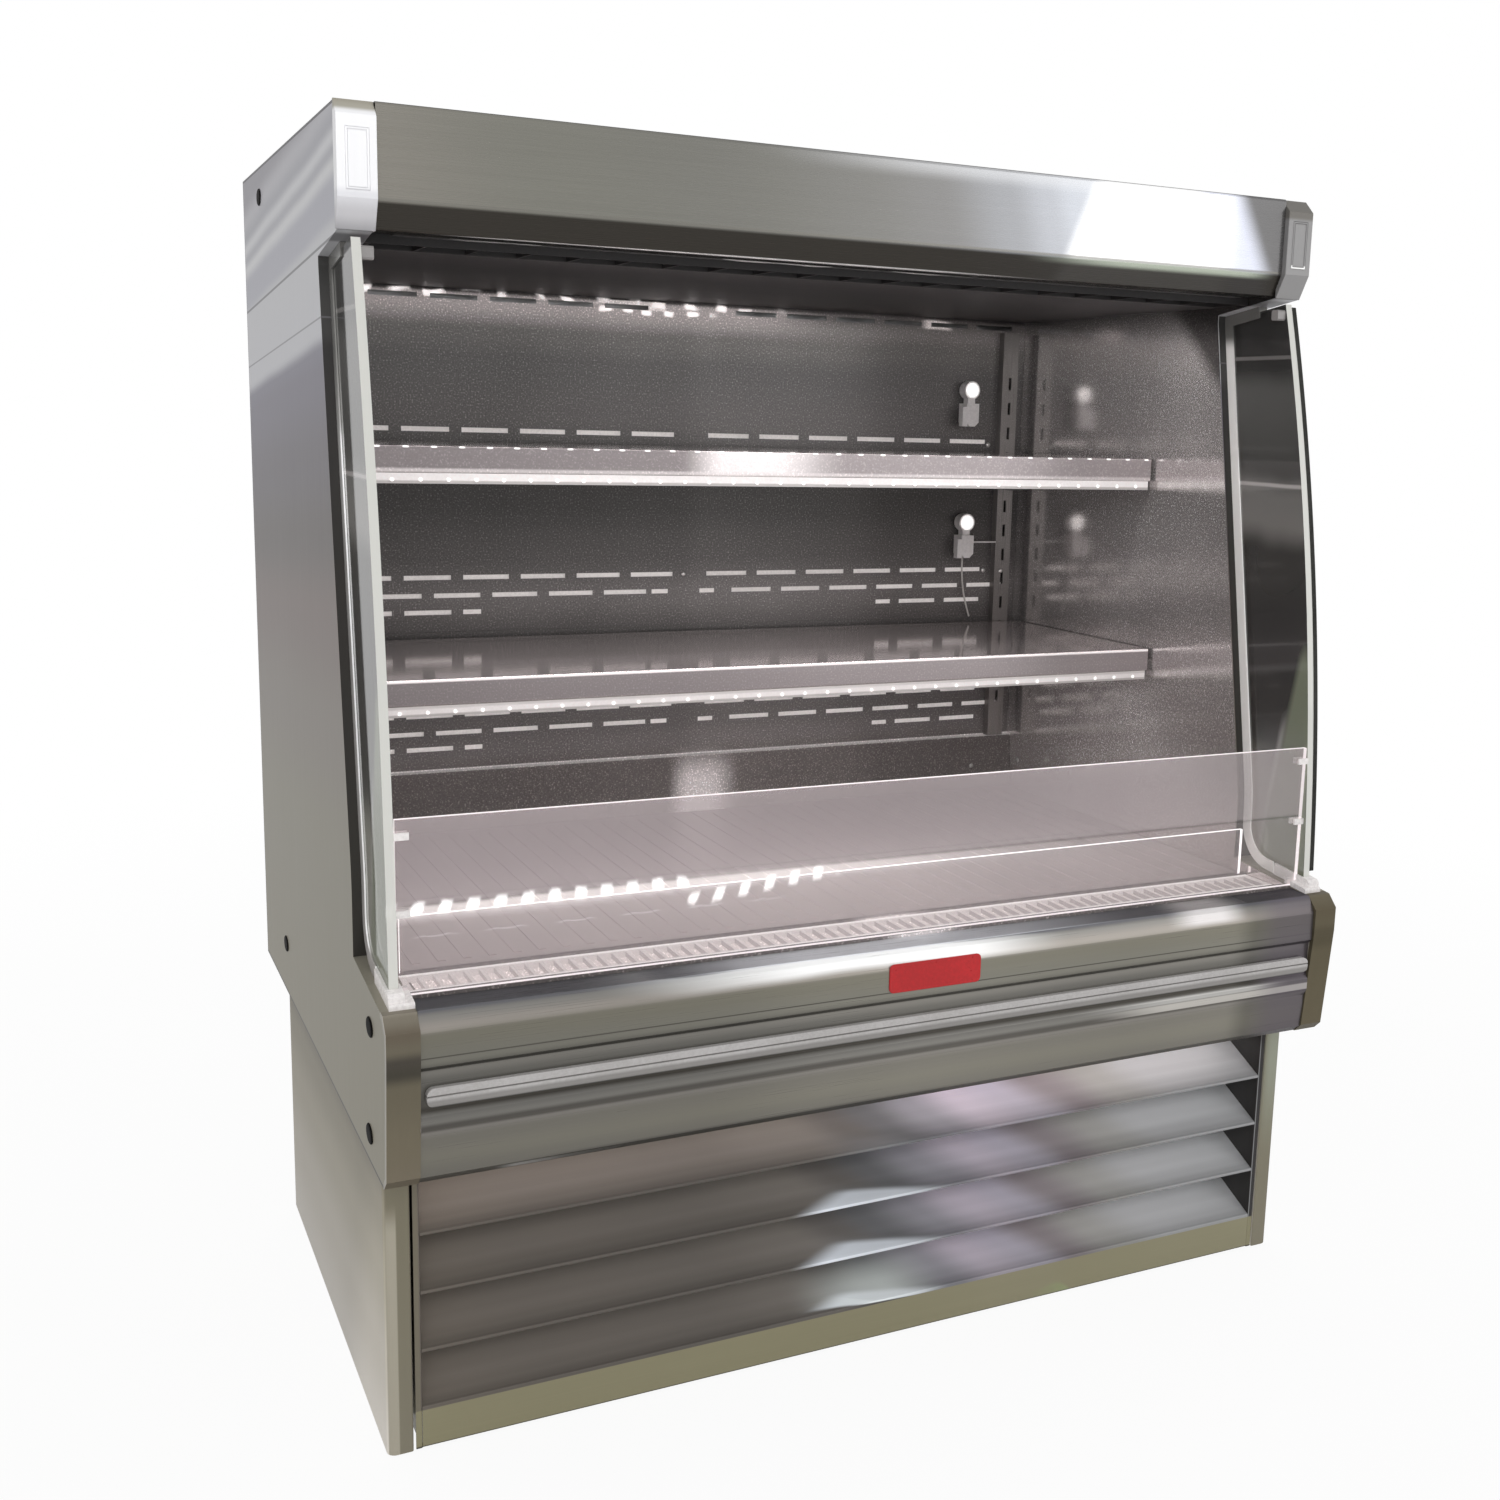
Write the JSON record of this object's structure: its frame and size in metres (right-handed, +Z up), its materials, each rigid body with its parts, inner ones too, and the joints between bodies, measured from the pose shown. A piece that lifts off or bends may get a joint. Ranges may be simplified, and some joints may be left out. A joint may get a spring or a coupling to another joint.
{
  "type": "open multideck display fridge",
  "caption": "Stainless open-front display fridge with deep ends, canopy, lit shelves over a deck behind clear glass, ridged apron with bumper, and an inset louvred base.",
  "frame": {"origin": "on the floor, under the middle of the cabinet's bounding box", "axes": "+Z up, the open front faces -Y, +X to the right seen from the front"},
  "size_m": [1.295, 0.9, 1.486],
  "materials": {
    "end_steel": "satin, vertical grain",
    "canopy_steel": "satin, grain along the width",
    "apron_steel": "satin, grain along the width",
    "louvre_steel": "satin, grain along the width",
    "interior_steel": "dark satin",
    "deck_steel": "polished satin",
    "shelf_steel": "satin",
    "galvanised": "galvanised",
    "foam_skin": "pale enamel",
    "clear_glass": "clear",
    "clear_acrylic": "clear",
    "trim_steel": "bright",
    "clear_clip": "translucent",
    "white_plastic": "smooth",
    "bumper_plastic": "smooth",
    "comb_plastic": "moulded",
    "lamp_lens": "frosted",
    "fin_aluminium": "bare fins",
    "fan_plastic": "moulded",
    "motor_metal": "enamel",
    "compressor_black": "gloss enamel",
    "copper": "bare copper",
    "box_plastic": "moulded",
    "switch_black": "smooth",
    "lead_plastic": "smooth"
  },
  "bodies": {
    "cabinet": {"left_end_panel": "end_steel", "right_end_panel": "end_steel", "left_wall_liner": "interior_steel", "right_wall_liner": "interior_steel", "apron_cap_left": "apron_steel", "apron_cap_right": "apron_steel", "canopy_cap_left": "canopy_steel", "canopy_cap_right": "canopy_steel", "insulated_tub": "foam_skin", "back_panel": "foam_skin", "top_panel": "foam_skin", "ceiling_panel": "interior_steel", "rear_panel_upper": "interior_steel", "rear_panel_lower": "interior_steel", "plenum_cover": "interior_steel", "canopy_fascia": "canopy_steel", "canopy_lamp": "lamp_lens", "discharge_honeycomb": "comb_plastic", "front_apron": "apron_steel", "bumper_strip": "bumper_plastic", "side_glass_left": "clear_glass", "side_glass_right": "clear_glass", "glass_trim_left": "trim_steel", "glass_trim_right": "trim_steel", "glass_shoes": "white_plastic", "front_glass": "clear_glass", "glass_clips": "clear_clip", "shelf_standard_left": "trim_steel", "shelf_standard_right": "trim_steel", "shelf_lamp_sockets": "white_plastic", "socket_lead": "lead_plastic", "evaporator_coil": "fin_aluminium", "evaporator_fan_shroud": "galvanised", "evaporator_fan_motors": "motor_metal", "base_frame": "galvanised", "base_side_left": "end_steel", "base_side_right": "end_steel", "rear_grille": "galvanised", "compressor": "compressor_black", "condenser_coil": "fin_aluminium", "condenser_fan_shroud": "galvanised", "condenser_fan_motor": "motor_metal", "condensate_pan": "galvanised", "refrigerant_lines": "copper", "control_box": "box_plastic"},
    "upper_shelf": {"upper_shelf": "shelf_steel", "upper_shelf_brackets": "shelf_steel", "upper_shelf_lamp": "lamp_lens"},
    "lower_shelf": {"lower_shelf": "shelf_steel", "lower_shelf_brackets": "shelf_steel", "lower_shelf_lamp": "lamp_lens"},
    "deck_pan_left": {"deck_pan_left": "deck_steel"},
    "deck_pan_right": {"deck_pan_right": "deck_steel"},
    "return_air_grille": {"return_air_grille": "deck_steel"},
    "product_stop": {"product_stop": "clear_acrylic"},
    "louvred_grille": {"louvred_grille": "louvre_steel"},
    "condenser_fan": {"condenser_fan": "fan_plastic"},
    "evaporator_fan_left": {"evaporator_fan_left": "fan_plastic"},
    "evaporator_fan_right": {"evaporator_fan_right": "fan_plastic"},
    "rocker_switch": {"rocker_switch": "switch_black"}
  },
  "joints": [
    {"name": "upper_shelf_lift", "type": "slide", "parent": "cabinet", "child": "upper_shelf", "axis": [0, 0, 1], "range_m": [0, 0.009]},
    {"name": "lower_shelf_lift", "type": "slide", "parent": "cabinet", "child": "lower_shelf", "axis": [0, 0, 1], "range_m": [0, 0.009]},
    {"name": "left_pan_lift", "type": "slide", "parent": "cabinet", "child": "deck_pan_left", "axis": [0, 0, 1], "range_m": [0, 0.08]},
    {"name": "right_pan_lift", "type": "slide", "parent": "cabinet", "child": "deck_pan_right", "axis": [0, 0, 1], "range_m": [0, 0.08]},
    {"name": "return_grille_lift", "type": "slide", "parent": "cabinet", "child": "return_air_grille", "axis": [0, 0, 1], "range_m": [0, 0.08]},
    {"name": "product_stop_lift", "type": "slide", "parent": "cabinet", "child": "product_stop", "axis": [0, 0, 1], "range_m": [0, 0.06]},
    {"name": "front_grille_pull", "type": "slide", "parent": "cabinet", "child": "louvred_grille", "axis": [0, -1, 0], "range_m": [0, 0.1]},
    {"name": "condenser_fan_spin", "type": "hinge", "parent": "cabinet", "child": "condenser_fan", "pos_m": [-0.18, -0.15, 0.168], "axis": [0, 1, 0], "continuous": true},
    {"name": "left_fan_spin", "type": "hinge", "parent": "cabinet", "child": "evaporator_fan_left", "pos_m": [-0.28, -0.14, 0.471], "axis": [0, 1, 0], "continuous": true},
    {"name": "right_fan_spin", "type": "hinge", "parent": "cabinet", "child": "evaporator_fan_right", "pos_m": [0.28, -0.14, 0.471], "axis": [0, 1, 0], "continuous": true},
    {"name": "switch_rock", "type": "hinge", "parent": "cabinet", "child": "rocker_switch", "pos_m": [0.47, -0.253, 0.135], "axis": [1, 0, 0], "range_deg": [-16, 0]}
  ]
}
